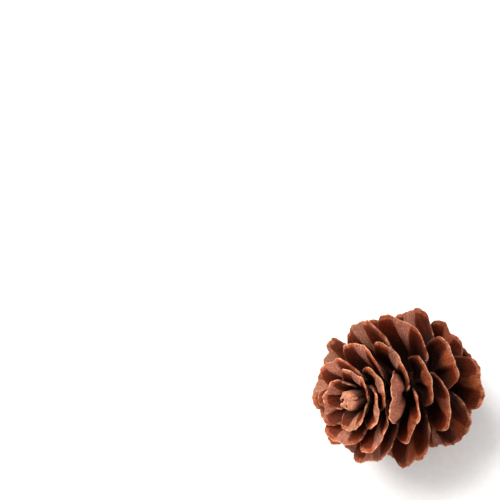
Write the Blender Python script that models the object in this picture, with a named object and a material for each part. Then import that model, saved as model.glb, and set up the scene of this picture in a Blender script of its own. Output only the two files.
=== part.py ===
# An open Japanese larch cone, lying on its side on a table.
# Woody seed scales grow from a slender axis in one golden-angle spiral, and a stub of stalk is left below.
# The cone's own frame has its axis on +Z, from the lowest scale to the tip. All sizes are in millimetres
# until a mesh is made.

import math
import random
from dataclasses import dataclass

import bmesh
import bpy
import numpy as np
from mathutils import Matrix, Vector

MM = 0.001

# How the cone lies: rolled round its own axis onto its low rims and its stalk, with its tip raised towards -Y.
# What touches the table is worn flat there, by about 0.3 mm.
TIP_RAISED_DEG = 45.5
ROLL_DEG = 63.0
FOOT_OF_AXIS = (-0.235, 9.746, 4.35)

# The spiral of scales, from the lowest to the one at the tip
SCALE_COUNT = 47
GOLDEN_ANGLE = math.radians(137.508)
FIRST_AZIMUTH = math.radians(149.2)
SPIRAL_HAND = -1
SEED = 42

# The open cone's outline and its scales, at these shares of the way up the spiral
STAGE = (0.0, 0.2, 0.3, 0.4, 0.6, 0.8, 0.92, 0.935, 1.0)
RIM_RADIUS = (9.4, 12.9, 13.2, 12.7, 10.7, 7.1, 3.8, 0.9, 0.3)
RIM_HEIGHT = (3.0, 7.2, 12.0, 17.2, 23.4, 27.6, 28.2, 27.7, 27.5)
ROOT_RADIUS = (1.3, 1.5, 1.6, 1.6, 1.4, 1.1, 0.9, 0.8, 0.7)
ROOT_HEIGHT = (1.4, 4.2, 6.2, 8.3, 12.8, 17.8, 21.0, 21.6, 23.0)
SCALE_WIDTH = (6.8, 9.6, 10.2, 10.4, 9.8, 8.7, 6.4, 4.0, 3.4)
ROLLED_BACK = (0.5, 0.9, 0.9, 0.9, 0.9, 0.7, 0.3, -0.2, -0.3)
BOW_AT_ROOT = (0, -4, -8, -10, -6, 6, 8, -14, -16)
BOW_AT_RIM = (4, 0, -6, -8, -6, 6, 6, -30, -36)

# Scales that stand a few degrees off the spiral, by their number
TURNED_DEG = {4: 8, 12: 6, 14: -8, 17: 5, 22: -4, 25: 9, 27: -4, 30: 6, 35: -5, 38: 10, 40: -8}

# One scale was pressed inward while the cone was still green
LEANING_SCALE = 30
LEANS_IN = 2.0
LEANS_UP = 1.0
LEANING_BOW = math.radians(-56)

# The blade of one scale
BLADE_THICKNESS = 0.66
CLAW_SHARE = 0.28
WIDEST_AT = 0.62
SQUARENESS = 2.6
SHOULDER_DROP = 0.32
CUP_FOLLOWS_CONE = 0.75
CUP_RADIUS = 3.2
HOLLOW_DEPTH = 0.45
RIDGE_HEIGHT = 0.25
SIDE_FLARE = 0.2
BLADE_COLUMNS = 6
BLADE_ROWS = 5

# The axis inside and the stalk below it
AXIS_OUTLINE = (
    (-0.4, 1.7),
    (0.8, 2.3),
    (3.0, 2.5),
    (9.0, 2.4),
    (16.0, 2.0),
    (21.0, 1.6),
    (24.0, 1.5),
    (26.0, 1.4),
    (27.2, 0.9),
)
AXIS_SIDES = 12
STALK_RADIUS = 1.5
STALK_LENGTH = 4.75
STALK_BEND = 0.9
STALK_GAP = 0.3
STALK_POINTS = 5


@dataclass
class SeedScale:
    """One woody scale: where it grows, where its rim reaches, and how it is bent."""

    azimuth: float
    root: tuple
    rim: tuple
    width: float
    rolled_back: float
    bow: tuple
    slant: float
    twist: float
    wave_count: float
    wave_phase: float
    wave_height: float
    notch: float


def ease(x):
    """A smooth step from 0 to 1."""
    x = np.clip(x, 0.0, 1.0)
    return x * x * (3.0 - 2.0 * x)


def along_cone(values, share):
    return float(np.interp(share, STAGE, values))


def spiral_of_scales():
    """The scales in the order in which they grow, each a little unlike its rule."""
    draw = random.Random(SEED)
    scales = []
    for index in range(SCALE_COUNT):
        share = index / (SCALE_COUNT - 1)
        azimuth = FIRST_AZIMUTH + SPIRAL_HAND * index * GOLDEN_ANGLE
        width = along_cone(SCALE_WIDTH, share)
        spread = draw.uniform(-0.45, 0.45)
        leans = index == LEANING_SCALE
        scales.append(
            SeedScale(
                azimuth=azimuth + math.radians(draw.uniform(-3.0, 3.0) + TURNED_DEG.get(index, 0)),
                root=(along_cone(ROOT_RADIUS, share), along_cone(ROOT_HEIGHT, share)),
                rim=(
                    along_cone(RIM_RADIUS, share) + spread - LEANS_IN * leans,
                    along_cone(RIM_HEIGHT, share) - spread + LEANS_UP * leans,
                ),
                width=width * draw.uniform(0.94, 1.06),
                rolled_back=along_cone(ROLLED_BACK, share) * draw.uniform(0.6, 1.4),
                bow=(
                    math.radians(along_cone(BOW_AT_ROOT, share)),
                    math.radians(along_cone(BOW_AT_RIM, share) + draw.uniform(-5.0, 5.0))
                    + LEANING_BOW * leans,
                ),
                slant=draw.uniform(-0.09, 0.09),
                twist=math.radians(draw.uniform(-6.0, 6.0)),
                wave_count=draw.uniform(0.8, 1.5),
                wave_phase=draw.uniform(0.0, 2.0 * math.pi),
                wave_height=draw.uniform(0.06, 0.22) * width / 10.0,
                notch=draw.uniform(0.0, 0.08),
            )
        )
    return scales


def middle_line(scale, reach):
    """Radius, height and angle from the axis along a scale's middle, as a cubic from root to rim."""
    (r0, z0), (r3, z3) = scale.root, scale.rim
    length = math.hypot(r3 - r0, z3 - z0)
    chord = math.atan2(r3 - r0, z3 - z0)
    first, last = chord - scale.bow[0], chord + scale.bow[1]
    handle = 0.36 * length
    corners = np.array(
        [
            (r0, z0),
            (r0 + handle * math.sin(first), z0 + handle * math.cos(first)),
            (r3 - handle * math.sin(last), z3 - handle * math.cos(last)),
            (r3, z3),
        ]
    )
    t = np.asarray(reach)[..., None]
    point = (
        (1 - t) ** 3 * corners[0]
        + 3 * t * (1 - t) ** 2 * corners[1]
        + 3 * t**2 * (1 - t) * corners[2]
        + t**3 * corners[3]
    )
    slope = (
        (1 - t) ** 2 * (corners[1] - corners[0])
        + 2 * t * (1 - t) * (corners[2] - corners[1])
        + t**2 * (corners[3] - corners[2])
    )
    return point[..., 0], point[..., 1], np.arctan2(slope[..., 0], slope[..., 1])


def seed_relief(across, reach):
    """Height of the ridge between the two hollows where the winged seeds lay, over a scale's face."""
    half_ridge = 0.08 + 0.30 * reach**2
    side = np.abs(across)
    hollow = ease((side - half_ridge) / 0.22) * ease((1.0 - side) / 0.34)
    ridge = ease((half_ridge + 0.12 - side) / 0.2)
    window = ease(reach / 0.25) * ease((0.92 - reach) / 0.25)
    return window * (RIDGE_HEIGHT * ridge - HOLLOW_DEPTH * hollow)


def scale_surface(scale, across, v):
    """Points midway through a scale's thickness. across is -1 to 1, and v is 0 at the root, 1 at the rim."""
    corner = 1.0 - (1.0 - np.abs(across) ** SQUARENESS) ** (1.0 / SQUARENESS)
    shoulder = 1.0 - SHOULDER_DROP * corner + scale.slant * across * v**2
    reach = v * shoulder - scale.notch * np.exp(-((across / 0.22) ** 2)) * v**3
    radius, height, angle = middle_line(scale, reach)
    half_width = 0.5 * scale.width * (CLAW_SHARE + (1 - CLAW_SHARE) * ease(reach / WIDEST_AT))
    arc = half_width * across
    follow = CUP_FOLLOWS_CONE * np.clip(np.cos(angle), 0.0, 1.0) / np.maximum(radius, 1.4)
    curvature = follow + (1 - CUP_FOLLOWS_CONE) / CUP_RADIUS
    sideways = np.sin(arc * curvature) / curvature
    lift = (1 - np.cos(arc * curvature)) / curvature
    lift = lift + sideways * math.tan(scale.twist)
    lift = lift + seed_relief(across, reach) * scale.width / 10.0
    wave = np.sin(math.pi * scale.wave_count * across + scale.wave_phase)
    lift = lift + scale.wave_height * wave * ease((v - 0.35) / 0.65)
    lift = lift - scale.rolled_back * np.clip((v - 0.66) / 0.34, 0.0, 1.0) ** 2
    lift = lift - SIDE_FLARE * across**4 * ease((v - 0.35) / 0.5) * scale.width / 10.0
    outward = radius - lift * np.cos(angle)
    upward = height + lift * np.sin(angle)
    points = np.empty(np.shape(arc) + (3,))
    points[..., 0] = outward * math.cos(scale.azimuth) - sideways * math.sin(scale.azimuth)
    points[..., 1] = outward * math.sin(scale.azimuth) + sideways * math.cos(scale.azimuth)
    points[..., 2] = upward
    return points


def facing_tip(grid):
    """Unit normals of a grid of points, on the side of a scale that faces the cone's axis."""
    normal = np.cross(np.gradient(grid, axis=0), np.gradient(grid, axis=1))
    return normal / np.linalg.norm(normal, axis=-1, keepdims=True)


def solid_between(upper, lower):
    """Vertices and triangles of a blade. Both faces are cut alike, so that they can't cross."""
    rows, columns = upper.shape[:2]
    count = rows * columns
    corner = np.arange(count).reshape(rows, columns)
    triangles = []
    for i in range(rows - 1):
        for j in range(columns - 1):
            a, b = corner[i, j], corner[i, j + 1]
            d, c = corner[i + 1, j], corner[i + 1, j + 1]
            left_half = 2 * j < columns - 1
            halves = ((a, b, c), (a, c, d)) if left_half else ((a, b, d), (b, c, d))
            for p, q, r in halves:
                triangles.append((p, r, q))
                triangles.append((p + count, q + count, r + count))
    border = [*corner[0, :-1], *corner[:-1, -1], *corner[-1, :0:-1], *corner[:0:-1, 0]]
    for p, q in zip(border, border[1:] + border[:1]):
        triangles.append((p, q + count, p + count))
        triangles.append((p, q, q + count))
    points = np.concatenate([upper.reshape(-1, 3), lower.reshape(-1, 3)])
    return points, [tuple(int(k) for k in t) for t in triangles]


def blade_of(scale):
    across, v = np.meshgrid(
        np.linspace(-1.0, 1.0, BLADE_COLUMNS + 1), np.linspace(0.0, 1.0, BLADE_ROWS + 1)
    )
    middle = scale_surface(scale, across, v)
    half = facing_tip(middle) * BLADE_THICKNESS / 2
    return solid_between(middle + half, middle - half)


def add_object(name, points, triangles, material):
    """A mesh object from points in the cone's frame, in millimetres."""
    mesh = bpy.data.meshes.new(name)
    mesh.from_pydata([tuple(p) for p in np.asarray(points) * MM], [], triangles)
    mesh.materials.append(material)
    obj = bpy.data.objects.new(name, mesh)
    bpy.context.scene.collection.objects.link(obj)
    return obj


def finish(name, colour, roughness):
    material = bpy.data.materials.new(name)
    material.use_nodes = True
    shader = material.node_tree.nodes["Principled BSDF"]
    shader.inputs["Base Color"].default_value = (*colour, 1.0)
    shader.inputs["Roughness"].default_value = roughness
    shader.inputs["Metallic"].default_value = 0.0
    return material


def make_axis(name, material):
    """The woody core that every scale is rooted in, ending in the middle of the bud at the tip."""
    mesh = bmesh.new()
    rings = []
    for height, radius in AXIS_OUTLINE:
        ring = bmesh.ops.create_circle(
            mesh,
            segments=AXIS_SIDES,
            radius=radius * MM,
            matrix=Matrix.Translation((0.0, 0.0, height * MM)),
        )
        rings.append(ring["verts"])
    for low, high in zip(rings, rings[1:]):
        loops = [e for e in mesh.edges if any(set(e.verts) <= set(ring) for ring in (low, high))]
        bmesh.ops.bridge_loops(mesh, edges=loops)
    mesh.faces.new(rings[0])
    mesh.faces.new(rings[-1])
    bmesh.ops.recalc_face_normals(mesh, faces=mesh.faces)
    core = add_object(name, [], [], material)
    mesh.to_mesh(core.data)
    mesh.free()
    return core


def make_cone(material):
    """The core with every scale joined to it in one solid."""
    cone = make_axis("cone", material)
    scales = bpy.data.collections.new("scales")
    bpy.context.scene.collection.children.link(scales)
    for index, scale in enumerate(spiral_of_scales()):
        blade = add_object(f"scale_{index:02d}", *blade_of(scale), material)
        bpy.context.scene.collection.objects.unlink(blade)
        scales.objects.link(blade)
    join = cone.modifiers.new("join_scales", "BOOLEAN")
    join.operation = "UNION"
    join.operand_type = "COLLECTION"
    join.collection = scales
    join.solver = "MANIFOLD"
    apply_modifiers(cone)
    for blade in list(scales.objects):
        bpy.data.objects.remove(blade)
    bpy.data.collections.remove(scales)
    fill_sealed_gaps(cone)
    return cone


def fill_sealed_gaps(obj):
    """Drops the walls of tiny gaps that are shut inside the wood where scales cross, and keeps the outer shell."""
    mesh = bmesh.new()
    mesh.from_mesh(obj.data)
    shells = []
    seen = set()
    for first in mesh.verts:
        if first in seen:
            continue
        shell, fringe = {first}, [first]
        while fringe:
            vert = fringe.pop()
            found = {edge.other_vert(vert) for edge in vert.link_edges} - shell
            shell |= found
            fringe.extend(found)
        seen |= shell
        shells.append(shell)
    outer = max(shells, key=len)
    bmesh.ops.delete(mesh, geom=[v for v in mesh.verts if v not in outer], context="VERTS")
    mesh.to_mesh(obj.data)
    mesh.free()


def wear_flat(obj):
    """Takes off what would reach below the table. The object lies in its final place."""
    reach = 4.0 * max(RIM_HEIGHT) * MM
    bpy.ops.mesh.primitive_cube_add(size=reach, location=(0.0, 0.0, -reach / 2))
    below = bpy.context.object
    cut = obj.modifiers.new("worn_flat", "BOOLEAN")
    cut.operation = "DIFFERENCE"
    cut.object = below
    apply_modifiers(obj)
    bpy.data.objects.remove(below)


def make_stalk(material):
    """The stub of twig that the cone grew on, drawn as a curve with a round section and made a mesh."""
    curve = bpy.data.curves.new("stalk", "CURVE")
    curve.dimensions = "3D"
    curve.bevel_depth = STALK_RADIUS * MM
    curve.bevel_resolution = 3
    curve.use_fill_caps = True
    curve.materials.append(material)
    spline = curve.splines.new("POLY")
    spline.points.add(STALK_POINTS - 1)
    top = AXIS_OUTLINE[0][0] - STALK_GAP
    for index, point in enumerate(spline.points):
        share = index / (STALK_POINTS - 1)
        sideways = STALK_BEND * share**2
        point.co = (sideways * MM, 0.0, (top - STALK_LENGTH * share) * MM, 1.0)
        point.radius = 1.0 - 0.12 * share
    drawn = bpy.data.objects.new("stalk_curve", curve)
    bpy.context.scene.collection.objects.link(drawn)
    graph = bpy.context.evaluated_depsgraph_get()
    stalk = bpy.data.objects.new("stalk", bpy.data.meshes.new_from_object(drawn.evaluated_get(graph)))
    bpy.context.scene.collection.objects.link(stalk)
    bpy.data.objects.remove(drawn)
    return stalk


def apply_modifiers(obj):
    graph = bpy.context.evaluated_depsgraph_get()
    mesh = bpy.data.meshes.new_from_object(obj.evaluated_get(graph))
    obj.modifiers.clear()
    obj.data = mesh


def lying():
    """The matrix that lays the cone's own frame down on the table."""
    roll = Matrix.Rotation(math.radians(ROLL_DEG), 4, "Z")
    tip_over = Matrix.Rotation(math.radians(90.0 - TIP_RAISED_DEG), 4, "X")
    return Matrix.Translation(Vector(FOOT_OF_AXIS) * MM) @ tip_over @ roll


def main():
    for obj in list(bpy.data.objects):
        bpy.data.objects.remove(obj)
    wood = finish("larch_scale_wood", (0.26, 0.11, 0.065), 0.62)
    bark = finish("larch_twig_bark", (0.16, 0.11, 0.08), 0.85)
    cone = make_cone(wood)
    cone.data.transform(lying())
    wear_flat(cone)
    cone.data.shade_smooth()
    cone.data.set_sharp_from_angle(angle=math.radians(35))
    stalk = make_stalk(bark)
    stalk.data.transform(lying())
    wear_flat(stalk)
    stalk.data.shade_smooth()
    stalk.data.set_sharp_from_angle(angle=math.radians(35))


main()
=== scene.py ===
"""An open Japanese larch cone that lies on a pale table, with its tip raised towards the viewer.

The scales, the bracts behind them, the woody axis and the stub of stalk are built from the same growth rule as
the solids that they stand for. Sizes are in millimetres until a mesh is made.
"""

import logging
import math
import random
from collections.abc import Mapping, Sequence
from dataclasses import dataclass, field
from enum import Enum
from typing import Any

import bpy
import numpy as np
from bpy.types import ID, Material, Node, NodeSocket, NodeTree, Object
from mathutils import Matrix, Vector


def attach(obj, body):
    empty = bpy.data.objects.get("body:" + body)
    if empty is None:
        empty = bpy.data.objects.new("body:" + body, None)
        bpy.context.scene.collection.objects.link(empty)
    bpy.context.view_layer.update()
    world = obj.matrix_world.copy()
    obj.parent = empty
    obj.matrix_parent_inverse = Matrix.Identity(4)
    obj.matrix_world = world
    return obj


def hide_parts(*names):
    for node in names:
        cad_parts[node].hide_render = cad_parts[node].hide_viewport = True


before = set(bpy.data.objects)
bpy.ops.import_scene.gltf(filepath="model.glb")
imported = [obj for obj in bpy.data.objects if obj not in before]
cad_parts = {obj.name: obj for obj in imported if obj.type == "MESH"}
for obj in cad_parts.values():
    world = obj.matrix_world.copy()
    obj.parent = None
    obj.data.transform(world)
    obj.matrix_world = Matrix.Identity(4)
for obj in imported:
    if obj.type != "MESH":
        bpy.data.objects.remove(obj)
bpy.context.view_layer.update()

logging.basicConfig(level=logging.INFO, format="%(name)s: %(message)s")
log = logging.getLogger("larch_cone")

MM = 0.001
GOLDEN_ANGLE = math.radians(137.508)
FULL_TURN = 2.0 * math.pi
PHOTO_SIDE_PX = 500
SHARP_EDGE = math.radians(50.0)
# A scale this wide has hollows, waves and ripples of full size
FULL_WIDTH = 10.0

# Where a change starts and where it ends, or the least and the most of a range
Span = tuple[float, float]


class Face(Enum):
    """Which side of a scale a point lies on, as the scales' material reads it."""

    BACK = 0.0
    INNER = 1.0


class Slot(Enum):
    """The record's material slots."""

    SCALE_WOOD = "scale_wood"
    TWIG_BARK = "twig_bark"


# Numbers


def ease(x: np.ndarray) -> np.ndarray:
    """Step smoothly from 0 to 1.

    Args:
        x: Values, of which those below 0 and above 1 are clipped.

    Returns:
        The eased values.
    """
    x = np.clip(x, 0.0, 1.0)
    return x * x * (3.0 - 2.0 * x)


def linear(hex_colour: str) -> tuple[float, float, float, float]:
    """Turn an sRGB hex colour into linear light.

    Args:
        hex_colour: Six hex digits after a #.

    Returns:
        Red, green and blue from 0 to 1, and an alpha of 1.
    """
    channels = (int(hex_colour[k : k + 2], 16) / 255.0 for k in (1, 3, 5))
    red, green, blue = (c / 12.92 if c <= 0.04045 else ((c + 0.055) / 1.055) ** 2.4 for c in channels)
    return red, green, blue, 1.0


def as_rows(shape: tuple[int, ...], channels: Sequence[np.ndarray | float]) -> np.ndarray:
    """Lay three grids, or single numbers, side by side as one row for each point.

    Args:
        shape: The shape of the grids.
        channels: Three grids or numbers.

    Returns:
        The rows.
    """
    return np.stack([np.broadcast_to(c, shape) for c in channels], axis=-1).reshape(-1, 3)


# Growth of the cone


@dataclass
class SeedScale:
    """One woody scale: where it grows, where its rim reaches, and how it is bent."""

    azimuth: float
    root: tuple[float, float]
    rim: tuple[float, float]
    width: float
    rolled_back: float
    bow: tuple[float, float]
    slant: float
    twist: float
    wave_count: float
    wave_phase: float
    wave_height: float
    notch: float

    @property
    def length(self) -> float:
        """Give the straight distance from root to rim."""
        return math.hypot(self.rim[0] - self.root[0], self.rim[1] - self.root[1])

    @property
    def size(self) -> float:
        """Give the scale's size next to one of full width."""
        return self.width / FULL_WIDTH


@dataclass(frozen=True)
class Variation:
    """How much each scale may differ from the rule."""

    azimuth_deg: float = 3.0
    spread: float = 0.45
    width: Span = (0.94, 1.06)
    rolled_back: Span = (0.6, 1.4)
    bow_deg: float = 5.0
    slant: float = 0.09
    twist_deg: float = 6.0
    wave_count: Span = (0.8, 1.5)
    wave_height: Span = (0.06, 0.22)
    notch: Span = (0.0, 0.08)


@dataclass(frozen=True)
class LeaningScale:
    """The one scale that leans in over its neighbours, shows its back, painted paler as a painted highlight, and
    ends in a straight slant.
    """

    index: int = 30
    inward: float = 2.0
    upward: float = 1.0
    bow_deg: float = -56.0
    slant: float = -0.12
    wave_share: float = 0.4
    ripple_share: float = 0.2
    # How much paler the leaning scale is painted: a painted highlight
    painted_highlight: float = 0.28


@dataclass(frozen=True)
class Growth:
    """The rule that all scales follow, from the lowest one to the tip.

    The solids follow the same rule, but their leaning scale has the waves and notch of the others and no slant.
    The tables give radius, height, width and bend at each stage, which is a share of the way up the spiral.
    """

    count: int = 47
    first_azimuth: float = math.radians(149.2)
    hand: int = -1
    seed: int = 42
    stage: tuple[float, ...] = (0.0, 0.2, 0.3, 0.4, 0.6, 0.8, 0.92, 0.935, 1.0)
    rim_radius: tuple[float, ...] = (9.4, 12.9, 13.2, 12.7, 10.7, 7.1, 3.8, 0.9, 0.3)
    rim_height: tuple[float, ...] = (3.0, 7.2, 12.0, 17.2, 23.4, 27.6, 28.2, 27.7, 27.5)
    root_radius: tuple[float, ...] = (1.3, 1.5, 1.6, 1.6, 1.4, 1.1, 0.9, 0.8, 0.7)
    root_height: tuple[float, ...] = (1.4, 4.2, 6.2, 8.3, 12.8, 17.8, 21.0, 21.6, 23.0)
    width: tuple[float, ...] = (6.8, 9.6, 10.2, 10.4, 9.8, 8.7, 6.4, 4.0, 3.4)
    rolled_back: tuple[float, ...] = (0.5, 0.9, 0.9, 0.9, 0.9, 0.7, 0.3, -0.2, -0.3)
    bow_at_root: tuple[float, ...] = (0, -4, -8, -10, -6, 6, 8, -14, -16)
    bow_at_rim: tuple[float, ...] = (4, 0, -6, -8, -6, 6, 6, -30, -36)
    turned_deg: Mapping[int, float] = field(
        default_factory=lambda: {
            4: 8, 12: 6, 14: -8, 17: 5, 22: -4, 25: 9, 27: -4, 30: 6, 35: -5, 38: 10, 40: -8
        }
    )
    varies: Variation = field(default_factory=Variation)
    leaning: LeaningScale = field(default_factory=LeaningScale)

    def at(self, values: Sequence[float], share: float) -> float:
        """Read a table of the rule at a share of the way up the spiral."""
        return float(np.interp(share, self.stage, values))

    def scales(self) -> list[SeedScale]:
        """Grow the scales in order, each a little unlike the rule.

        Returns:
            The scales, from the lowest to the one at the tip.
        """
        draw, vary, lean = random.Random(self.seed), self.varies, self.leaning
        scales = []
        for index in range(self.count):
            share, leans = index / (self.count - 1), index == lean.index
            spread = draw.uniform(-vary.spread, vary.spread)
            turned = draw.uniform(-vary.azimuth_deg, vary.azimuth_deg) + self.turned_deg.get(index, 0.0)
            width = self.at(self.width, share)
            wave_share = width / FULL_WIDTH * (lean.wave_share if leans else 1.0)
            rim_radius = self.at(self.rim_radius, share) + spread - lean.inward * leans
            rim_height = self.at(self.rim_height, share) - spread + lean.upward * leans
            rim_bow = self.at(self.bow_at_rim, share) + lean.bow_deg * leans
            # The draws are made in this order
            scale = SeedScale(
                azimuth=self.first_azimuth + self.hand * index * GOLDEN_ANGLE + math.radians(turned),
                root=(self.at(self.root_radius, share), self.at(self.root_height, share)),
                rim=(rim_radius, rim_height),
                width=width * draw.uniform(*vary.width),
                rolled_back=self.at(self.rolled_back, share) * draw.uniform(*vary.rolled_back),
                bow=(
                    math.radians(self.at(self.bow_at_root, share)),
                    math.radians(rim_bow + draw.uniform(-vary.bow_deg, vary.bow_deg)),
                ),
                slant=draw.uniform(-vary.slant, vary.slant) + lean.slant * leans,
                twist=math.radians(draw.uniform(-vary.twist_deg, vary.twist_deg)),
                wave_count=draw.uniform(*vary.wave_count),
                wave_phase=draw.uniform(0.0, FULL_TURN),
                wave_height=draw.uniform(*vary.wave_height) * wave_share,
                notch=draw.uniform(*vary.notch) * (not leans),
            )
            scales.append(scale)
        return scales


@dataclass(frozen=True)
class ScaleForm:
    """The form that every scale has before its own bends.

    The cup and the rolled rim are the solids' own. The outline is a little squarer here, and the hollows where
    the seeds lay, with the ridge between them, have steeper walls. Shares run from 0 at the root to 1 at the rim,
    or from 0 at the middle to 1 at a side.
    """

    handle: float = 0.36
    claw_share: float = 0.28
    widest_at: float = 0.62
    squareness: float = 3.1
    shoulder_drop: float = 0.32
    notch_half_width: float = 0.22
    cup_follows_cone: float = 0.75
    cup_radius: float = 3.2
    tightest_cup: float = 1.4
    hollow_depth: float = 0.45
    hollow_wall: float = 0.16
    margin: float = 0.30
    ridge_height: float = 0.25
    ridge_wall: float = 0.12
    half_ridge_at_root: float = 0.06
    half_ridge_gain: float = 0.30
    ridge_widening: float = 2.4
    zones_start: float = 0.25
    zones_end: float = 0.95
    zones_fade: float = 0.22
    rolls_from: float = 0.66
    side_flare: float = 0.2
    bends_from: float = 0.35
    flares_over: float = 0.5

    def middle_line(self, scale: SeedScale, reach: np.ndarray) -> tuple[np.ndarray, np.ndarray, np.ndarray]:
        """Follow a scale's middle from its root to its rim, as a cubic.

        Args:
            scale: The scale.
            reach: Shares of the way from root to rim.

        Returns:
            Radius, height and angle from the cone's axis at each of them.
        """
        (r0, z0), (r3, z3) = scale.root, scale.rim
        chord = math.atan2(r3 - r0, z3 - z0)
        first, last = chord - scale.bow[0], chord + scale.bow[1]
        handle = self.handle * scale.length
        a, d = np.array([(r0, z0), (r3, z3)])
        b = a + handle * np.array([math.sin(first), math.cos(first)])
        c = d - handle * np.array([math.sin(last), math.cos(last)])
        t = reach[..., None]
        s = 1.0 - t
        point = s**3 * a + 3.0 * t * s**2 * b + 3.0 * t**2 * s * c + t**3 * d
        slope = s**2 * (b - a) + 2.0 * t * s * (c - b) + t**2 * (d - c)
        return point[..., 0], point[..., 1], np.arctan2(slope[..., 0], slope[..., 1])

    def seed_zones(self, across: np.ndarray, reach: np.ndarray) -> tuple[np.ndarray, np.ndarray]:
        """Tell where the two winged seeds lay, and where the ridge between them stands.

        Args:
            across: From -1 at one side of the scale to 1 at the other.
            reach: Shares of the way from root to rim.

        Returns:
            How far each point is in a hollow, and how far on the ridge, from 0 to 1.
        """
        half_ridge = self.half_ridge_at_root + self.half_ridge_gain * reach**self.ridge_widening
        side = np.abs(across)
        hollow = ease((side - half_ridge) / self.hollow_wall) * ease((1.0 - side) / self.margin)
        ridge = ease((half_ridge + 0.5 * self.ridge_wall - side) / self.ridge_wall)
        window = ease(reach / self.zones_start) * ease((self.zones_end - reach) / self.zones_fade)
        return window * hollow, window * ridge

    def half_width(self, scale: SeedScale, reach: np.ndarray) -> np.ndarray:
        """Give half a scale's width at each share of its length."""
        return 0.5 * scale.width * (self.claw_share + (1 - self.claw_share) * ease(reach / self.widest_at))

    def reach(self, scale: SeedScale, across: np.ndarray, v: np.ndarray) -> np.ndarray:
        """Bend the rows of a blade to a scale's squared and notched tip.

        Args:
            scale: The scale.
            across: From -1 to 1 over its width.
            v: From 0 at the root to 1 at the rim.

        Returns:
            The share of the scale's length at each point.
        """
        corner = 1.0 - (1.0 - np.minimum(np.abs(across), 1.0) ** self.squareness) ** (1.0 / self.squareness)
        shoulder = 1.0 - self.shoulder_drop * corner + scale.slant * across * v**2
        return v * shoulder - scale.notch * np.exp(-((across / self.notch_half_width) ** 2)) * v**3

    def surface(self, scale: SeedScale, across: np.ndarray, v: np.ndarray, reach: np.ndarray) -> np.ndarray:
        """Place points midway through a scale's thickness.

        Args:
            scale: The scale.
            across: From -1 to 1 over its width.
            v: From 0 at the root to 1 at the rim.
            reach: The share of its length at each point, as self.reach gives it.

        Returns:
            The points in the cone's own frame.
        """
        radius, height, angle = self.middle_line(scale, reach)
        arc = self.half_width(scale, reach) * across
        follow = self.cup_follows_cone * np.clip(np.cos(angle), 0.0, 1.0) / np.maximum(radius, self.tightest_cup)
        curvature = follow + (1 - self.cup_follows_cone) / self.cup_radius
        sideways = np.sin(arc * curvature) / curvature
        hollow, ridge = self.seed_zones(across, reach)
        wave = np.sin(math.pi * scale.wave_count * across + scale.wave_phase)
        lift = (1 - np.cos(arc * curvature)) / curvature + sideways * math.tan(scale.twist)
        lift += (self.ridge_height * ridge - self.hollow_depth * hollow) * scale.size
        lift += scale.wave_height * wave * ease((v - self.bends_from) / (1.0 - self.bends_from))
        lift -= scale.rolled_back * np.clip((v - self.rolls_from) / (1.0 - self.rolls_from), 0.0, 1.0) ** 2
        lift -= self.side_flare * across**4 * ease((v - self.bends_from) / self.flares_over) * scale.size
        outward, upward = radius - lift * np.cos(angle), height + lift * np.sin(angle)
        cos_a, sin_a = math.cos(scale.azimuth), math.sin(scale.azimuth)
        x, y = outward * cos_a - sideways * sin_a, outward * sin_a + sideways * cos_a
        return np.stack([x, y, upward], axis=-1)


@dataclass(frozen=True)
class Pose:
    """How the cone lies on the table: rolled onto its low rims, with its tip raised towards -Y."""

    tip_raised_deg: float = 45.5
    roll_deg: float = 63.0
    foot_of_axis: tuple[float, float, float] = (-0.235, 9.746, 4.35)

    def matrix(self) -> Matrix:
        """Turn and place the cone's own frame in the table's.

        Returns:
            The matrix from the one to the other, in millimetres.
        """
        roll = Matrix.Rotation(math.radians(self.roll_deg), 4, "Z")
        tip_over = Matrix.Rotation(math.radians(90.0 - self.tip_raised_deg), 4, "X")
        return Matrix.Translation(Vector(self.foot_of_axis)) @ tip_over @ roll

    def laid(self, points: np.ndarray) -> np.ndarray:
        """Lay points down on the table.

        Args:
            points: Points in the cone's own frame, in millimetres.

        Returns:
            Rows of points in metres. What would reach below the table is worn flat at its height.
        """
        matrix = np.array(self.matrix())
        placed = points.reshape(-1, 3) @ matrix[:3, :3].T + matrix[:3, 3]
        placed[:, 2] = np.maximum(placed[:, 2], 0.0)
        return placed * MM


# Nodes and materials


def add_node(
    tree: NodeTree,
    kind: str,
    inputs: Mapping[str | int, Any] | None = None,
    out: str | int = 0,
    stops: Sequence[tuple[float, str]] = (),
    **settings: Any,
) -> NodeSocket:
    """Add one node with its settings and links.

    Args:
        tree: The node tree.
        kind: Blender's name for the node's type.
        inputs: A value or an output socket for each input socket, by name or number.
        out: The output that is wanted, by name or number.
        stops: Positions and hex colours of a colour ramp, if the node has one.
        settings: The node's own properties.

    Returns:
        The wanted output.
    """
    node = tree.nodes.new(kind)
    for name, value in settings.items():
        setattr(node, name, value)
    for name, value in (inputs or {}).items():
        if isinstance(value, NodeSocket):
            tree.links.new(value, node.inputs[name])
        else:
            node.inputs[name].default_value = value
    for k, (position, colour) in enumerate(stops):
        elements = node.color_ramp.elements
        element = elements[k] if k < 2 else elements.new(position)
        element.position, element.color = position, linear(colour)
    return node.outputs[out]


def new_material(
    name: str, roughness: float, ior: float, specular: float
) -> tuple[Material, NodeTree, Node]:
    """Make an empty material, with its constants set on its shader.

    Args:
        name: The real material and how its surface was made.
        roughness: Its roughness, where nothing is linked to it.
        ior: Its index of refraction.
        specular: Its specular level.

    Returns:
        The material, its node tree and its Principled shader.
    """
    material = bpy.data.materials.new(name)
    material.use_nodes = True
    shader = material.node_tree.nodes["Principled BSDF"]
    shader.inputs["Roughness"].default_value = roughness
    shader.inputs["IOR"].default_value = ior
    shader.inputs["Specular IOR Level"].default_value = specular
    return material, material.node_tree, shader


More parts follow.
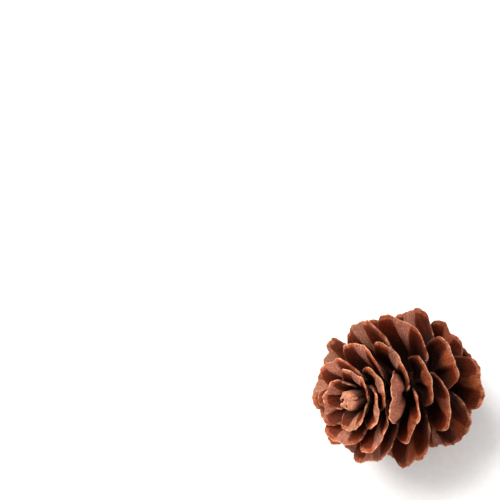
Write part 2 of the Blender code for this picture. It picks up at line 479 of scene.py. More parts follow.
class Step(Enum):
    """A step that the scales' wood is worked out in: its node, settings, input sockets and output socket."""

    ABSOLUTE = ("ShaderNodeMath", {"operation": "ABSOLUTE"}, (0,), 0)
    ADD = ("ShaderNodeMath", {"operation": "ADD"}, (0, 1), 0)
    SUBTRACT = ("ShaderNodeMath", {"operation": "SUBTRACT"}, (0, 1), 0)
    MULTIPLY = ("ShaderNodeMath", {"operation": "MULTIPLY"}, (0, 1), 0)
    MULTIPLY_ADD = ("ShaderNodeMath", {"operation": "MULTIPLY_ADD"}, (0, 1, 2), 0)
    POWER = ("ShaderNodeMath", {"operation": "POWER"}, (0, 1), 0)
    MINIMUM = ("ShaderNodeMath", {"operation": "MINIMUM"}, (0, 1), 0)
    MAXIMUM = ("ShaderNodeMath", {"operation": "MAXIMUM"}, (0, 1), 0)
    # From the start of a span to its end, rises smoothly from 0 to 1, or between the two levels that follow
    EASE = ("ShaderNodeMapRange", {"interpolation_type": "SMOOTHSTEP"}, (0, 1, 2, 3, 4), 0)
    BETWEEN = ("ShaderNodeMapRange", {}, (0, 3, 4), 0)
    MIX = ("ShaderNodeMix", {"data_type": "RGBA"}, (0, 6, 7), 2)
    RECOLOUR = ("ShaderNodeHueSaturation", {}, ("Hue", "Value", "Color"), 0)
    BUMP = ("ShaderNodeBump", {}, ("Strength", "Distance", "Height"), 0)


@dataclass(frozen=True)
class SeedScaleWood:
    """Larch seed scales, grown and air dried: thin woody blades.

    The back is matt and fibrous. On the inner face the two winged seeds left smooth, slightly glossy red-brown
    prints. The V between the prints, and the thin rim, are paler, dry and matt; the rim's pale line is partly a
    painted highlight. Both faces are painted darker towards the root, as painted shade deep in the cone. The
    spans over which one tone turns into the next are shares of the scale's length or of a pattern, or millimetres
    from an edge.
    """

    # The root colour is painted shade: the inner face darkens towards it, deep in the cone
    root: str = "#32170e"
    hollow: str = "#682609"
    margin: str = "#964520"
    ridge: str = "#9f6650"
    # The rim's pale line is partly its own dry wood and partly a painted highlight
    rim: str = "#d79470"
    # Painted shade at the root of the back
    back_painted_shade: str = "#2c140d"
    back: str = "#8f5640"
    bud: str = "#cf8a6a"
    # Real fibres are about 0.05 mm apart, and real dust and pores about 0.1 mm wide. Both are too fine to show,
    # so they are drawn at 0.25 mm and 0.34 mm. The blotches are as wide as the real ones
    fibre_mm: float = 0.25
    fibre_slimness: float = 8.0
    fibre_span: Span = (0.34, 0.66)
    fibre_tones: Span = (0.80, 1.17)
    speck_mm: float = 0.34
    speck_span: Span = (0.35, 0.65)
    speck_tones: Span = (0.80, 1.18)
    blotch_mm: float = 1.4
    blotch_span: Span = (0.30, 0.70)
    blotch_tones: Span = (0.82, 1.15)
    v_at_root: float = 0.03
    v_at_rim: float = 0.36
    v_widening: float = 3.0
    v_uneven: float = 0.08
    v_edge: Span = (-0.02, 0.04)
    v_shows: Span = (0.45, 0.75)
    print_from_tip_mm: Span = (0.50, 0.90)
    print_from_side_mm: Span = (0.20, 0.45)
    out_of_root: Span = (0.36, 0.98)
    dry_band: float = 0.6
    dry_blotches: Span = (0.40, 0.60)
    lay_open: Span = (0.32, 0.86)
    bud_opens: Span = (0.60, 0.86)
    rim_mm: Span = (0.22, 0.07)
    rim_from: Span = (0.35, 0.65)
    rim_least: float = 0.35
    rim_specks: Span = (0.35, 0.55)
    rim_blotches: Span = (0.38, 0.60)
    dry_roughness: float = 0.84
    print_roughness: float = 0.66
    relief_mm: float = 0.06
    relief_strength: float = 0.55
    ior: float = 1.5
    specular: float = 0.18

    def marks(self, tree: NodeTree) -> dict[str, NodeSocket]:
        """Read a scale's zones from its mesh, and lay the patterns of its wood over them.

        Args:
            tree: The material's node tree.

        Returns:
            The zones and patterns, by name.
        """
        marks = {}
        for attribute, names in (
            ("scale_place", ("across", "reach", "inner")),
            ("edge_mm", ("from_side", "from_tip", "clear_v")),
            ("scale_tones", ("value", "hue", "in_bud")),
        ):
            rows = add_node(tree, "ShaderNodeAttribute", out="Vector", attribute_name=attribute)
            marks.update(zip(names, add_node(tree, "ShaderNodeSeparateXYZ", {0: rows}).node.outputs))
        grain = add_node(tree, "ShaderNodeAttribute", out="Vector", attribute_name="grain_mm")
        # Fibres run from root to rim
        stretch = (1.0 / self.fibre_mm, 1.0 / (self.fibre_mm * self.fibre_slimness), 1.0)
        along = add_node(tree, "ShaderNodeVectorMath", {0: grain, 1: stretch}, operation="MULTIPLY")
        for name, place, scale, detail in (
            ("fibres", along, 1.0, 1.5),
            ("blotches", grain, 1.0 / self.blotch_mm, 3.0),
            ("specks", grain, 1.0 / self.speck_mm, 2.0),
        ):
            pattern = {"Vector": place, "Scale": scale, "Detail": detail}
            marks[name] = add_node(tree, "ShaderNodeTexNoise", pattern)
        return marks

    def steps(self) -> tuple[tuple[str | Step | float | tuple[float, ...], ...], ...]:
        """List the steps from the marks to the shader's inputs.

        Returns:
            Each step's name, kind and inputs, which are numbers, colours, or names of marks and earlier steps.
        """
        return (
            # The V between the two prints: narrow halfway up the scale, wide at its rim and unevenly edged
            ("from_middle", Step.ABSOLUTE, "across"),
            ("widening", Step.POWER, "reach", self.v_widening),
            ("even_half", Step.MULTIPLY_ADD, "widening", self.v_at_rim, self.v_at_root),
            ("uneven", Step.MULTIPLY_ADD, "blotches", self.v_uneven, -0.5 * self.v_uneven),
            ("half_v", Step.ADD, "even_half", "uneven"),
            ("into_v", Step.SUBTRACT, "half_v", "from_middle"),
            ("in_v", Step.EASE, "into_v", *self.v_edge),
            # Inner face: red-brown in the prints of the seeds, painted darker towards the root as painted shade
            # deep in the cone
            ("below_tip", Step.EASE, "from_tip", *self.print_from_tip_mm),
            ("within_sides", Step.EASE, "from_side", *self.print_from_side_mm),
            ("within", Step.MULTIPLY, "below_tip", "within_sides"),
            ("beside_v", Step.SUBTRACT, 1.0, "in_v"),
            ("seed_print", Step.MULTIPLY, "within", "beside_v"),
            ("printed", Step.MIX, "seed_print", linear(self.margin), linear(self.hollow)),
            ("out_of_root", Step.EASE, "reach", *self.out_of_root),
            ("deepened", Step.MIX, "out_of_root", linear(self.root), "printed"),
            # The V, and parts of the band along the rim, are pale and dry
            ("dry_patches", Step.EASE, "blotches", *self.dry_blotches, 0.0, self.dry_band),
            ("above_print", Step.SUBTRACT, 1.0, "below_tip"),
            ("pale_band", Step.MULTIPLY, "above_print", "dry_patches"),
            ("v_strength", Step.EASE, "reach", *self.v_shows, 0.0, "clear_v"),
            ("pale_v", Step.MULTIPLY, "in_v", "v_strength"),
            ("pale", Step.MAXIMUM, "pale_v", "pale_band"),
            ("inner_face", Step.MIX, "pale", "deepened", linear(self.ridge)),
            # Back: matt pinkish tan, painted dark towards the root as painted shade deep in the cone
            ("lay_open", Step.EASE, "reach", *self.lay_open),
            ("back_face", Step.MIX, "lay_open", linear(self.back_painted_shade), linear(self.back)),
            ("faces", Step.MIX, "inner", "back_face", "inner_face"),
            # The scales of the bud are paler at their tips
            ("bud_opens", Step.EASE, "reach", *self.bud_opens),
            ("bud_tip", Step.MULTIPLY, "in_bud", "bud_opens"),
            ("with_bud", Step.MIX, "bud_tip", "faces", linear(self.bud)),
            # The thin dry rim: a pale line, partly the rim's own paler wood and partly a painted highlight,
            # broken by specks and dull in some stretches
            ("speckled", Step.EASE, "specks", *self.rim_specks, self.rim_least, 1.0),
            ("worn", Step.EASE, "blotches", *self.rim_blotches, self.rim_least, 1.0),
            ("crisp", Step.MULTIPLY, "speckled", "worn"),
            ("from_edge", Step.MINIMUM, "from_side", "from_tip"),
            ("at_edge", Step.EASE, "from_edge", *self.rim_mm),
            ("on_blade", Step.EASE, "reach", *self.rim_from),
            ("rim_line", Step.MULTIPLY, "at_edge", "on_blade"),
            ("dry_rim", Step.MULTIPLY, "rim_line", "crisp"),
            ("with_rim", Step.MIX, "dry_rim", "with_bud", linear(self.rim)),
            # Each scale is a little darker or paler than the next, at random and by painted shade on the lower
            # scales, with fibres, blotches and specks
            ("fibre_tone", Step.EASE, "fibres", *self.fibre_span, *self.fibre_tones),
            ("blotch_tone", Step.EASE, "blotches", *self.blotch_span, *self.blotch_tones),
            ("speck_tone", Step.EASE, "specks", *self.speck_span, *self.speck_tones),
            ("fibrous", Step.MULTIPLY, "value", "fibre_tone"),
            ("blotched", Step.MULTIPLY, "fibrous", "blotch_tone"),
            ("mottled", Step.MULTIPLY, "blotched", "speck_tone"),
            ("Base Color", Step.RECOLOUR, "hue", "mottled", "with_rim"),
            # The seeds' waxy wings left their prints smoother than the dry rest
            ("waxed", Step.MULTIPLY, "seed_print", "inner"),
            ("Roughness", Step.BETWEEN, "waxed", self.dry_roughness, self.print_roughness),
            ("relief", Step.ADD, "fibres", "specks"),
            ("Normal", Step.BUMP, self.relief_strength, self.relief_mm * MM, "relief"),
        )

    def build(self) -> Material:
        """Build the material from the zones that each scale's mesh carries.

        Returns:
            The material.
        """
        name = "larch seed scale wood, air dried"
        material, tree, shader = new_material(name, self.dry_roughness, self.ior, self.specular)
        made = self.marks(tree)
        for step, kind, *values in self.steps():
            node, settings, sockets, out = kind.value
            inputs = {socket: made.get(value, value) for socket, value in zip(sockets, values)}
            made[step] = add_node(tree, node, inputs, out, **settings)
        for socket in ("Base Color", "Roughness", "Normal"):
            tree.links.new(made[socket], shader.inputs[socket])
        return material


@dataclass(frozen=True)
class BareWood:
    """Bark, bract and core wood, grown and weathered: matt, and darker in its furrows.

    Real grain here is 0.05 to 0.1 mm wide, too fine to show, so grain_mm draws it as coarse as it needs to be.
    """

    name: str
    dark: str
    light: str
    grain_mm: float
    stretch: tuple[float, float, float] = (1.0, 1.0, 0.2)
    ramp: Span = (0.32, 0.68)
    roughness: float = 0.85
    bump_mm: float = 0.12
    bump_strength: float = 0.7
    ior: float = 1.5
    specular: float = 0.15

    def build(self) -> Material:
        """Build the material. Its grain is worked out in the object's own millimetres.

        Returns:
            The material.
        """
        material, tree, shader = new_material(self.name, self.roughness, self.ior, self.specular)
        place = add_node(tree, "ShaderNodeTexCoord", out="Object")
        per_grain = tuple(s / (self.grain_mm * MM) for s in self.stretch)
        scaled = add_node(tree, "ShaderNodeVectorMath", {0: place, 1: per_grain}, operation="MULTIPLY")
        pattern = {"Vector": scaled, "Scale": 1.0, "Detail": 5.0, "Roughness": 0.65}
        grain = add_node(tree, "ShaderNodeTexNoise", pattern)
        stops = tuple(zip(self.ramp, (self.dark, self.light)))
        colour = add_node(tree, "ShaderNodeValToRGB", {0: grain}, stops=stops)
        relief = {"Strength": self.bump_strength, "Distance": self.bump_mm * MM, "Height": grain}
        tree.links.new(colour, shader.inputs["Base Color"])
        tree.links.new(add_node(tree, "ShaderNodeBump", relief), shader.inputs["Normal"])
        return material


# Core wood, grown, with long furrows: its brown is darkened to nearly black, as painted shade in the gaps between
# the scales
CORE_WOOD = BareWood("larch cone core, grown wood", "#1f0d07", "#4a2716", grain_mm=0.5)
# Dried bract: papery and dull, its own brown darkened as painted shade behind its scale, so that it shows only as
# a soft edge
BRACT_SKIN = BareWood("larch bract, papery and dried", "#1f0e09", "#4c281a", grain_mm=0.3)
# Twig bark, weathered: grey-brown, rough, with shallow cracks that catch the light
TWIG_BARK = BareWood("larch twig bark, weathered", "#33261e", "#7a6250", grain_mm=0.6)
# Sapwood, snapped across: pale and even, which sets the stub's end off from its bark
SNAPPED_TWIG = BareWood("larch twig, snapped across", "#8a6a4c", "#b99a76", grain_mm=0.3, bump_mm=0.05)


@dataclass(frozen=True)
class WhiteCard:
    """White card, rolled smooth: even and matt, with no grain that shows at this distance."""

    shade: str = "#f4f3f1"
    pale: str = "#f8f7f6"
    ramp: Span = (0.3, 0.7)
    pulp_mm: float = 1.11
    roughness: float = 0.9
    ior: float = 1.5
    specular: float = 0.2

    def build(self) -> Material:
        """Build the material, with faint clouds of pulp.

        Returns:
            The material.
        """
        name = "white card, rolled smooth"
        material, tree, shader = new_material(name, self.roughness, self.ior, self.specular)
        place = add_node(tree, "ShaderNodeTexCoord", out="Object")
        pattern = {"Vector": place, "Scale": 1.0 / (self.pulp_mm * MM), "Detail": 2.0}
        pulp = add_node(tree, "ShaderNodeTexNoise", pattern)
        stops = tuple(zip(self.ramp, (self.shade, self.pale)))
        colour = add_node(tree, "ShaderNodeValToRGB", {0: pulp}, stops=stops)
        tree.links.new(colour, shader.inputs["Base Color"])
        return material


# Meshes


def new_object(name: str, data: ID) -> Object:
    """Make an object of a mesh, a light or a camera, and link it into the scene.

    Args:
        name: The object's name.
        data: Its mesh, light or camera.

    Returns:
        The object.
    """
    thing = bpy.data.objects.new(name, data)
    bpy.context.scene.collection.objects.link(thing)
    return thing


def link_piece(name: str, points: np.ndarray, faces: list[list[int]], materials: Sequence[Material]) -> Object:
    """Make a smooth-shaded mesh piece and link it into the scene.

    Args:
        name: The piece's name.
        points: Its vertices, in metres.
        faces: Its faces, as lists of vertex numbers.
        materials: Its materials. The first is that of all faces.

    Returns:
        The piece.
    """
    mesh = bpy.data.meshes.new(name)
    mesh.from_pydata(points.tolist(), [], faces)
    mesh.shade_smooth()
    mesh.set_sharp_from_angle(angle=SHARP_EDGE)
    for material in materials:
        mesh.materials.append(material)
    return new_object(name, mesh)


@dataclass
class MeshParts:
    """Vertices, faces and per-vertex values, gathered from many blades into one mesh."""

    points: list[np.ndarray] = field(default_factory=list)
    faces: list[np.ndarray] = field(default_factory=list)
    values: dict[str, list[np.ndarray]] = field(default_factory=dict)
    size: int = 0

    def add(self, points: np.ndarray, faces: np.ndarray, **values: np.ndarray) -> None:
        """Add one closed shell.

        Args:
            points: Its vertices, in metres.
            faces: Its quads, counted from its own first vertex.
            values: Rows of three numbers for each vertex, by the name of the attribute.
        """
        self.points.append(points)
        self.faces.append(faces + self.size)
        for name, rows in values.items():
            self.values.setdefault(name, []).append(rows)
        self.size += len(points)

    def piece(self, name: str, material: Material) -> Object:
        """Make the gathered shells one piece.

        Args:
            name: The piece's name.
            material: Its material.

        Returns:
            The piece, linked into the scene.
        """
        piece = link_piece(name, np.concatenate(self.points), np.concatenate(self.faces).tolist(), [material])
        for key, rows in self.values.items():
            layer = piece.data.attributes.new(key, "FLOAT_VECTOR", "POINT")
            layer.data.foreach_set("vector", np.concatenate(rows).astype(np.float32).ravel())
        return piece


def blade_faces(rows: int, columns: int) -> np.ndarray:
    """Give the quads of a closed blade: its two faces and the strip round its rim.

    Args:
        rows: Rows of points in each face.
        columns: Points in each row.

    Returns:
        The quads. The first rows * columns vertices are the inner face's.
    """
    corner = np.arange(rows * columns).reshape(rows, columns)
    back = corner + rows * columns
    a, b, c, d = corner[:-1, :-1], corner[:-1, 1:], corner[1:, 1:], corner[1:, :-1]
    inner = np.stack([a, d, c, b], axis=-1).reshape(-1, 4)
    outer = inner[:, ::-1] + rows * columns
    loop = np.concatenate([corner[0, :-1], corner[:-1, -1], corner[-1, :0:-1], corner[:0:-1, 0]])
    after = np.roll(loop, -1)
    shift = back.flat[0]
    rim = np.stack([loop, after, after + shift, loop + shift], axis=-1)
    return np.concatenate([inner, outer, rim])


def turned_faces(rings: int, sides: int) -> list[list[int]]:
    """Give the faces of a closed turned form, whose rings run anticlockwise and upwards.

    Args:
        rings: Rings of points.
        sides: Points in each ring.

    Returns:
        The quads of its side, then its bottom and its top.
    """
    corner = np.arange(rings * sides).reshape(rings, sides)
    after = np.roll(corner, -1, axis=1)
    quads = np.stack([corner[:-1], after[:-1], after[1:], corner[1:]], axis=-1).reshape(-1, 4)
    return [*quads.tolist(), corner[0, ::-1].tolist(), corner[-1].tolist()]


def facing_axis(grid: np.ndarray) -> np.ndarray:
    """Give unit normals of a grid of points, on the side that faces the cone's axis."""
    normal = np.cross(np.gradient(grid, axis=0), np.gradient(grid, axis=1))
    return normal / np.linalg.norm(normal, axis=-1, keepdims=True)


def both_faces(middle: np.ndarray, half: np.ndarray) -> np.ndarray:
    """Give the vertices of a blade's inner face and back, half a thickness either side of its middle."""
    return np.concatenate([(middle + half).reshape(-1, 3), (middle - half).reshape(-1, 3)])


@dataclass(frozen=True)
class RaggedRim:
    """The fine relief of a dried scale: ragged rim, puckered sides and ripples, for one of full width."""

    teeth: tuple[tuple[float, float], ...] = ((0.60, 6.0), (0.40, 13.0), (0.25, 24.0))
    teeth_share: float = 0.018
    teeth_cut_back: float = 0.7
    pucker: float = 0.018
    pucker_waves: float = 8.0
    long_ripple: float = 0.16
    long_waves: float = 5.2
    long_from: float = 0.50
    short_ripple: float = 0.08
    short_waves: float = 11.0
    fold: float = 0.22
    fold_from: float = 0.86

    def relief(
        self, across: np.ndarray, v: np.ndarray, phases: Sequence[float]
    ) -> tuple[np.ndarray, np.ndarray, np.ndarray]:
        """Cut the rim into small uneven teeth, draw the sides in and out, ripple the blade and fold its rim back.

        Args:
            across: From -1 to 1 over the scale's width.
            v: From 0 at the root to 1 at the rim.
            phases: Where each wave starts.

        Returns:
            What is added to the scale's reach, the new places across, and the move towards the cone's axis in mm.
        """
        teeth = sum(height * np.sin(waves * across + phases[k]) for k, (height, waves) in enumerate(self.teeth))
        cut = self.teeth_share * (teeth - self.teeth_cut_back) * v**5
        drawn_in = self.pucker * (np.sin(self.pucker_waves * v + phases[3]) - 1.0)
        puckered = across * (1.0 + drawn_in * np.abs(across) ** 3)
        long = np.sin(self.long_waves * across + phases[0] - phases[1])
        short = np.sin(self.short_waves * across + phases[4])
        ripple = (
            self.long_ripple * long * ease((v - self.long_from) / (1.0 - self.long_from))
            + self.short_ripple * short * v**4
            - self.fold * np.clip((v - self.fold_from) / (1.0 - self.fold_from), 0.0, 1.0) ** 2
        )
        return cut, puckered, ripple


@dataclass(frozen=True)
class Bract:
    """The small pointed bract that grows on the back of each scale."""

    length: float = 3.6
    width: float = 2.0
    thickness: float = 0.16
    starts_at: float = 0.20
    narrows: float = 0.30
    point: float = 0.66
    clearance: float = 0.05
    stands_off: float = 0.35
    stands_off_from: float = 0.55
    stands_off_varies: Span = (0.2, 1.0)
    length_varies: Span = (0.85, 1.15)
    rows: int = 9
    columns: int = 7


@dataclass
class ConeHead:
    """The whole head: its scales with the bud at the tip, a bract behind each scale, and the axis inside."""

    growth: Growth = field(default_factory=Growth)
    form: ScaleForm = field(default_factory=ScaleForm)
    rim: RaggedRim = field(default_factory=RaggedRim)
    bract: Bract = field(default_factory=Bract)
    pose: Pose = field(default_factory=Pose)
    wood: SeedScaleWood = field(default_factory=SeedScaleWood)
    relief_seed: int = 1042
    bract_seed: int = 2042
    # On these scales the pale V is left out, so that their inner faces stay dark: painted shade
    painted_shade_scales: tuple[int, ...] = (0, 1, 3, 4, 6, 9, 12, 14, 17, 20, 22, 25)
    painted_shade_v: Span = (0.0, 0.16)
    clear_v: Span = (0.8, 1.0)
    # The lower scales are painted darker and the upper ones paler: painted shade on the lower side of the cone.
    # shade_varies is each scale's own random tone
    painted_shade_stage: tuple[float, ...] = (0.0, 0.42, 0.75)
    shade: tuple[float, ...] = (0.64, 0.88, 1.06)
    shade_varies: Span = (0.84, 1.14)
    hue_varies: Span = (0.496, 0.503)
    bud_scales: int = 4
    bud_paleness: float = 0.85
    columns: int = 40
    rows: int = 24
    crowding: float = 0.35
    root_thickness: float = 0.70
    rim_thickness: float = 0.28
    thin_from: float = 0.85
    rounded_edge: float = 0.16
    edge_share: float = 0.35
    # Shifts the wood's pattern by more than a scale's width, so that no two scales and no two faces share it
    pattern_step: float = 7.0
    pattern_back: float = 3.0
    axis_height: tuple[float, ...] = (-0.4, 0.8, 3.0, 9.0, 16.0, 21.0, 24.0, 26.0, 27.2)
    axis_radius: tuple[float, ...] = (1.7, 2.3, 2.5, 2.4, 2.0, 1.6, 1.5, 1.4, 0.9)
    axis_sides: int = 48
    axis_rings: int = 90
    axis_furrow: float = 0.05
    axis_furrows: float = 9.0
    axis_twist: float = 0.6

    def grid(self) -> tuple[np.ndarray, np.ndarray]:
        """Lay out a blade's points, closer together near its sides and its rim.

        Returns:
            The places across and from root to rim, as two grids.
        """
        side = np.linspace(0.0, 1.0, self.columns // 2 + 1)
        side = np.sin(0.5 * math.pi * side) * self.crowding + side * (1.0 - self.crowding)
        v = np.linspace(0.0, 1.0, self.rows + 1)
        v = np.sin(0.5 * math.pi * v) * self.crowding + v * (1.0 - self.crowding)
        return np.meshgrid(np.concatenate([-side[:0:-1], side]), v)

    def thickness(self, v: np.ndarray, from_edge: np.ndarray) -> np.ndarray:
        """Thin a blade towards its rim, and round its edge.

        Args:
            v: From 0 at the root to 1 at the rim.
            from_edge: How far each point is from the nearest edge, in millimetres.

        Returns:
            The thickness at each point.
        """
        thick = self.root_thickness + (self.rim_thickness - self.root_thickness) * ease(v / self.thin_from)
        edge = np.clip(from_edge / self.rounded_edge, 0.0, 1.0)
        return thick * (self.edge_share + (1.0 - self.edge_share) * np.sqrt(1.0 - (1.0 - edge) ** 2))

    def add_scale(self, parts: MeshParts, index: int, scale: SeedScale, draw: random.Random) -> None:
        """Add one scale as a closed blade, with what its material reads at each vertex.

        Args:
            parts: The mesh that it is added to.
            index: Its place in the spiral, from the lowest.
            scale: The scale.
            draw: The source of small differences, drawn from in a fixed order.
        """
        across, v = self.grid()
        phases = [draw.uniform(0.0, FULL_TURN) for _ in range(5)]
        leaning = self.growth.leaning if index == self.growth.leaning.index else None
        cut, puckered, ripple = self.rim.relief(across, v, phases)
        reach = self.form.reach(scale, across, v) + cut
        middle = self.form.surface(scale, puckered, v, reach)
        ripple = ripple * (leaning.ripple_share if leaning else 1.0)
        middle = middle + facing_axis(middle) * (ripple * scale.size)[..., None]
        from_side = (1.0 - np.abs(across)) * self.form.half_width(scale, reach)
        from_tip = (1.0 - v) * scale.length
        thick = self.thickness(v, np.minimum(from_side, from_tip))
        half = facing_axis(middle) * (thick / 2.0)[..., None]

        clear_v = draw.uniform(*(self.painted_shade_v if index in self.painted_shade_scales else self.clear_v))
        # Painted shade darkens the lower scales, and the leaning scale is painted paler as a painted highlight
        shade = float(np.interp(index / self.growth.count, self.painted_shade_stage, self.shade))
        value = shade * draw.uniform(*self.shade_varies) + (leaning.painted_highlight if leaning else 0.0)
        hue = draw.uniform(*self.hue_varies)
        in_bud = index >= self.growth.count - self.bud_scales
        grain = (across * self.form.half_width(scale, reach), reach * scale.length)
        step = self.pattern_step * index
        # What each vertex of the inner face says, then what each of the back says
        values = {
            "scale_place": ((across, reach, Face.INNER.value), (across, reach, Face.BACK.value)),
            "edge_mm": ((from_side, from_tip, clear_v),) * 2,
            "scale_tones": ((value, hue, self.bud_paleness * in_bud),) * 2,
            "grain_mm": ((*grain, step), (*grain, step + self.pattern_back)),
        }
        rows = {name: np.concatenate([as_rows(v.shape, face) for face in pair]) for name, pair in values.items()}
        quads = blade_faces(self.rows + 1, self.columns + 1)
        parts.add(self.pose.laid(both_faces(middle, half)), quads, **rows)

    def scales_piece(self) -> Object:
        """Build every scale as a closed blade that thins to a rounded, ragged rim.

        Returns:
            The piece.
        """
        parts = MeshParts()
        draw = random.Random(self.relief_seed)
        for index, scale in enumerate(self.growth.scales()):
            self.add_scale(parts, index, scale, draw)
        log.info("scales: %d blades, %d vertices", self.growth.count, parts.size)
        return parts.piece("cone_scales", self.wood.build())

    def bracts_piece(self) -> Object:
        """Build the small pointed bract on the back of each scale below the bud.

        Returns:
            The piece.
        """
        parts = MeshParts()
        bract = self.bract
        quads = blade_faces(bract.rows, bract.columns)
        draw = random.Random(self.bract_seed)
        across, v = np.meshgrid(np.linspace(-1.0, 1.0, bract.columns), np.linspace(0.0, 1.0, bract.rows))
        taper = 1.0 - bract.narrows * v - bract.point * v**4
        free = ease((v - bract.stands_off_from) / (1.0 - bract.stands_off_from))
        for scale in self.growth.scales()[: -self.bud_scales]:
            length = bract.length * draw.uniform(*bract.length_varies)
            reach = bract.starts_at + v * length / scale.length
            share = 0.5 * bract.width * across * taper / self.form.half_width(scale, reach)
            middle = self.form.surface(scale, share, reach, reach)
            normal = facing_axis(middle)
            off = bract.stands_off * free * draw.uniform(*bract.stands_off_varies)
            middle = middle - normal * (0.5 * self.root_thickness + bract.clearance + off)[..., None]
            parts.add(self.pose.laid(both_faces(middle, normal * 0.5 * bract.thickness)), quads)
        log.info("bracts: %d", len(parts.points))
        return parts.piece("cone_bracts", BRACT_SKIN.build())

    def axis_piece(self) -> Object:
        """Build the woody axis, turned from its outline and furrowed along its length.

        Returns:
            The piece.
        """
        heights = self.axis_height
        turn = np.linspace(0.0, FULL_TURN, self.axis_sides, endpoint=False)
        turns, levels = np.meshgrid(turn, np.linspace(heights[0], heights[-1], self.axis_rings))
        furrows = 1.0 + np.sin(self.axis_furrows * turns + self.axis_twist * levels)
        radius = np.interp(levels, heights, self.axis_radius) - self.axis_furrow * furrows
        points = np.stack([radius * np.cos(turns), radius * np.sin(turns), levels], axis=-1)
        log.info("axis: %.1f mm long", heights[-1] - heights[0])
        faces = turned_faces(self.axis_rings, self.axis_sides)
        return link_piece("cone_axis", self.pose.laid(points), faces, [CORE_WOOD.build()])


@dataclass
class StalkStub:
    """The stub of twig below the cone: rough bark, small needle pegs, and a snapped end with pale wood."""

    pose: Pose = field(default_factory=Pose)
    top: float = -0.7
    length: float = 4.9
    radius: float = 1.57
    bend: float = 0.9
    narrowing: float = 0.12
    sides: int = 56
    rings: int = 61
    furrow: float = 0.10
    # Share of the furrows' depth, and waves round and along the stub
    slants: tuple[tuple[float, float, float], ...] = ((0.3125, 7.0, 3.0), (0.1875, 17.0, -9.0))
    ring_share: float = 0.35
    ring_waves: float = 46.0
    ring_wobble: tuple[float, float] = (1.2, 2.0)
    shrunk: float = 0.5
    bevel: float = 0.05
    pegs: int = 9
    first_peg: tuple[float, float] = (0.7, 0.08)
    peg_step: float = 0.1
    peg_size: tuple[float, float] = (0.26, 0.045)
    peg_height: float = 0.09

    def bark_relief(self, turns: np.ndarray, shares: np.ndarray) -> np.ndarray:
        """Roughen the bark with slanting furrows, faint rings and the pegs that needles left.

        Args:
            turns: Angles round the stub.
            shares: Shares of the way down it.

        Returns:
            What is added to the radius, in millimetres.
        """
        furrows = sum(depth * np.sin(round_it * turns + along * shares) for depth, round_it, along in self.slants)
        wobble = self.ring_wobble[0] * np.sin(self.ring_wobble[1] * turns)
        rings = self.ring_share * np.sin(self.ring_waves * shares + wobble)
        relief = self.furrow * (furrows + rings - self.shrunk)
        for k in range(self.pegs):
            peg_turn = (k * GOLDEN_ANGLE + self.first_peg[0]) % FULL_TURN
            apart = np.abs((turns - peg_turn + math.pi) % FULL_TURN - math.pi) / self.peg_size[0]
            below = (shares - self.first_peg[1] - self.peg_step * k) / self.peg_size[1]
            relief += self.peg_height * np.exp(-(apart**2 + below**2))
        return relief

    def piece(self) -> Object:
        """Build the stub, from its snapped end up to the cone.

        Returns:
            The piece.
        """
        turn = np.linspace(0.0, FULL_TURN, self.sides, endpoint=False)
        turns, shares = np.meshgrid(turn, np.linspace(1.0, 0.0, self.rings))
        radius = self.radius * (1.0 - self.narrowing * shares) + self.bark_relief(turns, shares)
        from_end = np.minimum(shares, 1.0 - shares) * self.length
        radius -= self.bevel * np.clip(1.0 - from_end / self.bevel, 0.0, 1.0)
        middle = self.bend * shares**2
        height = self.top - self.length * shares
        points = np.stack([middle + radius * np.cos(turns), radius * np.sin(turns), height], axis=-1)
        faces = turned_faces(self.rings, self.sides)
        stub = link_piece("stalk_stub", self.pose.laid(points), faces, [TWIG_BARK.build(), SNAPPED_TWIG.build()])
        for end in stub.data.polygons[-2:]:
            end.material_index = 1
        log.info("stalk: %.1f mm long, %.1f mm thick", self.length, 2.0 * self.radius)
        return stub


@dataclass(frozen=True)
class SoftLight:
    """A soft square light that faces the cone.

    Its place is counted from the cone along the camera's right, up and backward directions, in metres.
    """

    name: str
    place: tuple[float, float, float]
    side: float
    watts: float


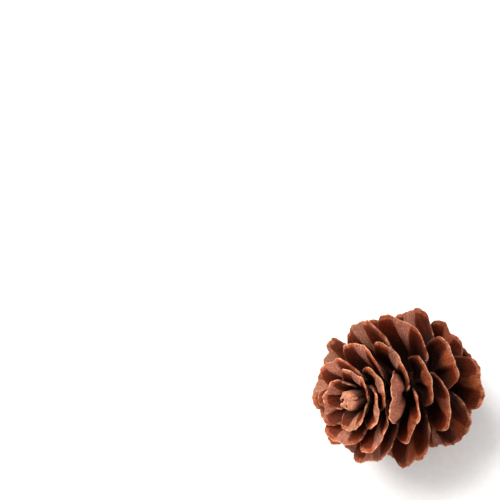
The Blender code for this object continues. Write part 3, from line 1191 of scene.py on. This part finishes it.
@dataclass
class Studio:
    """The pale table, the soft lights and the camera."""

    pose: Pose = field(default_factory=Pose)
    card: WhiteCard = field(default_factory=WhiteCard)
    table_side: float = 3.0
    # The card lies a hundredth of a millimetre low, so that the rims' worn flats don't share its plane
    table_drop: float = 0.00001
    px_per_mm: float = 5.71
    looks_at_px: tuple[float, float] = (391.6, 389.9)
    looks_at_mm: tuple[float, float, float] = (0.0, 0.0, 15.0)
    camera_azimuth_deg: float = 79.92
    camera_elevation_deg: float = 65.88
    camera_roll_deg: float = -23.67
    lens_mm: float = 135.0
    sensor_mm: float = 36.0
    nearest: float = 0.01
    key: SoftLight = SoftLight("key", (-0.34, 0.36, 0.38), 0.44, 5.4)
    fill: SoftLight = SoftLight("fill", (0.45, -0.25, 0.34), 0.45, 1.9)
    surroundings: str = "#ffffff"
    surroundings_strength: float = 0.72

    def table(self) -> None:
        """Lay a sheet of pale card under everything."""
        half = 0.5 * self.table_side
        mesh = bpy.data.meshes.new("table_card")
        corners = [(-half, -half, 0.0), (half, -half, 0.0), (half, half, 0.0), (-half, half, 0.0)]
        mesh.from_pydata(corners, [], [(0, 1, 2, 3)])
        mesh.materials.append(self.card.build())
        card = new_object("table_card", mesh)
        card.location.z = -self.table_drop
        log.info("table: %.1f m square", self.table_side)

    def view_axes(self) -> Matrix:
        """Find the directions of the camera's frame.

        Returns:
            A matrix whose columns are the camera's right, up and backward directions.
        """
        azimuth, elevation = math.radians(self.camera_azimuth_deg), math.radians(self.camera_elevation_deg)
        level = math.cos(elevation)
        back = Vector((math.sin(azimuth) * level, -math.cos(azimuth) * level, math.sin(elevation)))
        unrolled = Vector((0.0, 0.0, 1.0)).cross(back).normalized()
        right = Matrix.Rotation(math.radians(self.camera_roll_deg), 3, back) @ unrolled
        return Matrix((right, back.cross(right), back)).transposed()

    def target(self) -> Vector:
        """Give the point of the cone's axis that the camera and the lights are set by, in metres."""
        return self.pose.matrix() @ Vector(self.looks_at_mm) * MM

    def camera(self) -> None:
        """Set up the camera so that the cone falls at its place and size in the photograph."""
        field_m = PHOTO_SIDE_PX / self.px_per_mm * MM
        distance = field_m / self.sensor_mm * self.lens_mm
        middle = PHOTO_SIDE_PX / 2
        right = (middle - self.looks_at_px[0]) / PHOTO_SIDE_PX * field_m
        up = (self.looks_at_px[1] - middle) / PHOTO_SIDE_PX * field_m
        axes = self.view_axes()
        data = bpy.data.cameras.new("camera")
        data.lens, data.sensor_width, data.clip_start = self.lens_mm, self.sensor_mm, self.nearest
        data.dof.use_dof = False
        camera = new_object("camera", data)
        place = self.target() + axes @ Vector((right, up, distance))
        camera.matrix_world = Matrix.Translation(place) @ axes.to_4x4()
        bpy.context.scene.camera = camera
        log.info("camera: %.0f mm lens, %.2f m away", self.lens_mm, distance)

    def hang(self, light: SoftLight) -> None:
        """Hang one light so that it faces the cone.

        Args:
            light: The light.
        """
        place = self.target() + self.view_axes() @ Vector(light.place)
        data = bpy.data.lights.new(light.name, "AREA")
        data.size, data.energy = light.side, light.watts
        lamp = new_object(light.name, data)
        lamp.location = place
        lamp.rotation_euler = (place - self.target()).to_track_quat("Z", "Y").to_euler()

    def lights(self) -> None:
        """Light the cone softly from above left, with a fill from the right and pale surroundings."""
        self.hang(self.key)
        self.hang(self.fill)
        world = bpy.data.worlds.new("pale_surroundings")
        world.use_nodes = True
        background = world.node_tree.nodes["Background"]
        background.inputs["Color"].default_value = linear(self.surroundings)
        background.inputs["Strength"].default_value = self.surroundings_strength
        bpy.context.scene.world = world
        bpy.context.scene.view_settings.view_transform = "Standard"


def own(piece: Object, node: str) -> None:
    """Say what a piece rides on, and hide the solid that it stands for.

    Args:
        piece: The piece.
        node: The solid's node.
    """
    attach(piece, "root")
    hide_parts(node)


def main() -> None:
    """Build the cone, its stalk and the studio in order."""
    head = ConeHead()
    own(head.scales_piece(), "cone")
    own(head.bracts_piece(), "cone")
    own(head.axis_piece(), "cone")
    own(StalkStub().piece(), "stalk")
    studio = Studio()
    studio.table()
    studio.camera()
    studio.lights()


if __name__ == "__main__":
    main()
